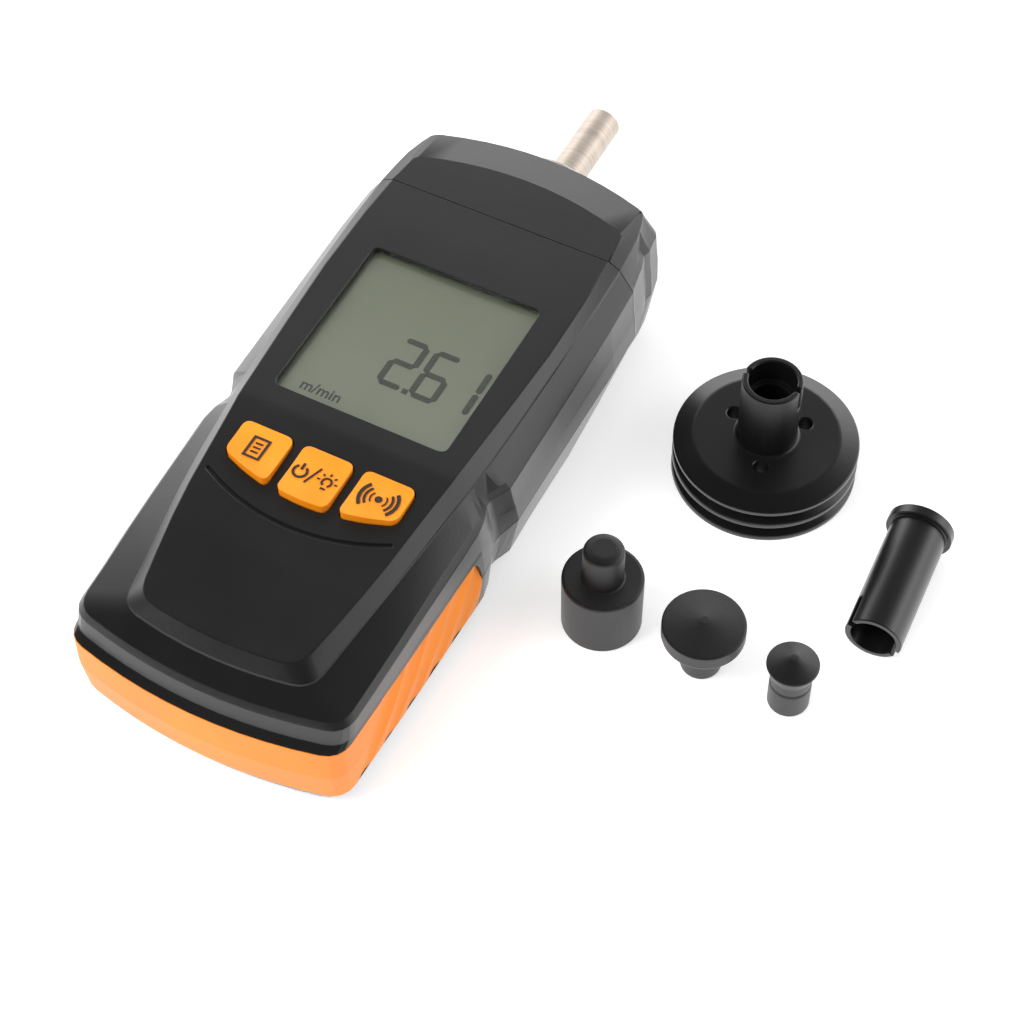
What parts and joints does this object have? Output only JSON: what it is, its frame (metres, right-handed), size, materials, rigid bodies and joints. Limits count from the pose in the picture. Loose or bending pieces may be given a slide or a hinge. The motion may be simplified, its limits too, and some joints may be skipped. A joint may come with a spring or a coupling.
{
  "type": "contact tachometer",
  "caption": "Handheld contact tachometer with display, keys and a turning shaft end, and its measuring wheel, shaft sleeve and rubber tips laid out beside it.",
  "frame": {"origin": "middle of the flat back, halfway along the moulded case, on the surface it lies on", "axes": "+Y along the case toward the shaft, +X to the right of the display, +Z out of the display"},
  "size_m": [0.1466, 0.1793, 0.0384],
  "materials": {
    "case_plastic": "fine moulded texture",
    "orange_grip": "soft touch",
    "orange_key": "satin",
    "clear_window": "clear",
    "display_glass": "grey green display",
    "white_plastic": "white",
    "strip_rubber": "striped",
    "black_plastic": "black",
    "switch_plastic": "grey",
    "board": "lacquered laminate",
    "steel": "plated",
    "shaft_steel": "ground",
    "nose_metal": "turned",
    "block_metal": "die cast",
    "battery_jacket": "plain jacket",
    "wheel_plastic": "satin black",
    "tip_rubber": "firm rubber"
  },
  "bodies": {
    "case": {"rear_case": "case_plastic", "front_case": "case_plastic", "head_cap": "case_plastic", "front_grip": "orange_grip", "rear_grip": "orange_grip", "lcd_window": "clear_window", "lcd_cell": "display_glass", "lcd_frame": "white_plastic", "backlight": "white_plastic", "contact_strips": "strip_rubber", "key_switches": "switch_plastic", "main_board": "board", "board_chips": "black_plastic", "buzzer": "black_plastic", "board_screws": "steel", "case_screws": "steel", "nose_collar": "nose_metal", "bearing_block": "block_metal", "block_screws": "steel", "shaft_bearings": "steel", "photo_sensor": "black_plastic", "sensor_board": "board", "batteries": "battery_jacket", "battery_contacts": "steel"},
    "shaft": {"drive_shaft": "shaft_steel", "slotted_disc": "black_plastic", "retaining_ring": "steel"},
    "left_key": {"memory_key": "orange_key", "memory_plunger": "black_plastic"},
    "middle_key": {"power_key": "orange_key", "power_plunger": "black_plastic"},
    "right_key": {"sound_key": "orange_key", "sound_plunger": "black_plastic"},
    "door": {"battery_door": "case_plastic"},
    "wheel": {"measuring_wheel": "wheel_plastic"},
    "sleeve": {"shaft_sleeve": "wheel_plastic"},
    "cup": {"cup_tip": "tip_rubber"},
    "cone": {"large_cone_tip": "tip_rubber"},
    "point": {"small_cone_tip": "tip_rubber"}
  },
  "joints": [
    {"name": "shaft_turn", "type": "hinge", "parent": "case", "child": "shaft", "pos_m": [0, 0.08, 0.0221], "axis": [0, 1, 0], "continuous": true},
    {"name": "left_key_press", "type": "slide", "parent": "case", "child": "left_key", "axis": [0, 0, -1], "range_m": [0, 0.0007], "stiffness_N_per_m": 1200, "springref_m": -0.0003},
    {"name": "middle_key_press", "type": "slide", "parent": "case", "child": "middle_key", "axis": [0, 0, -1], "range_m": [0, 0.0007], "stiffness_N_per_m": 1200, "springref_m": -0.0003},
    {"name": "right_key_press", "type": "slide", "parent": "case", "child": "right_key", "axis": [0, 0, -1], "range_m": [0, 0.0007], "stiffness_N_per_m": 1200, "springref_m": -0.0003},
    {"name": "door_slide", "type": "slide", "parent": "case", "child": "door", "axis": [0, -1, 0], "range_m": [0, 0.06]},
    {"name": "wheel_lift", "type": "slide", "parent": "case", "child": "wheel", "axis": [0, 0, 1], "range_m": [0, 0.03]},
    {"name": "sleeve_lift", "type": "slide", "parent": "case", "child": "sleeve", "axis": [0, 0, 1], "range_m": [0, 0.03]},
    {"name": "cup_lift", "type": "slide", "parent": "case", "child": "cup", "axis": [0, 0, 1], "range_m": [0, 0.03]},
    {"name": "cone_lift", "type": "slide", "parent": "case", "child": "cone", "axis": [0, 0, 1], "range_m": [0, 0.03]},
    {"name": "point_lift", "type": "slide", "parent": "case", "child": "point", "axis": [0, 0, 1], "range_m": [0, 0.03]}
  ]
}
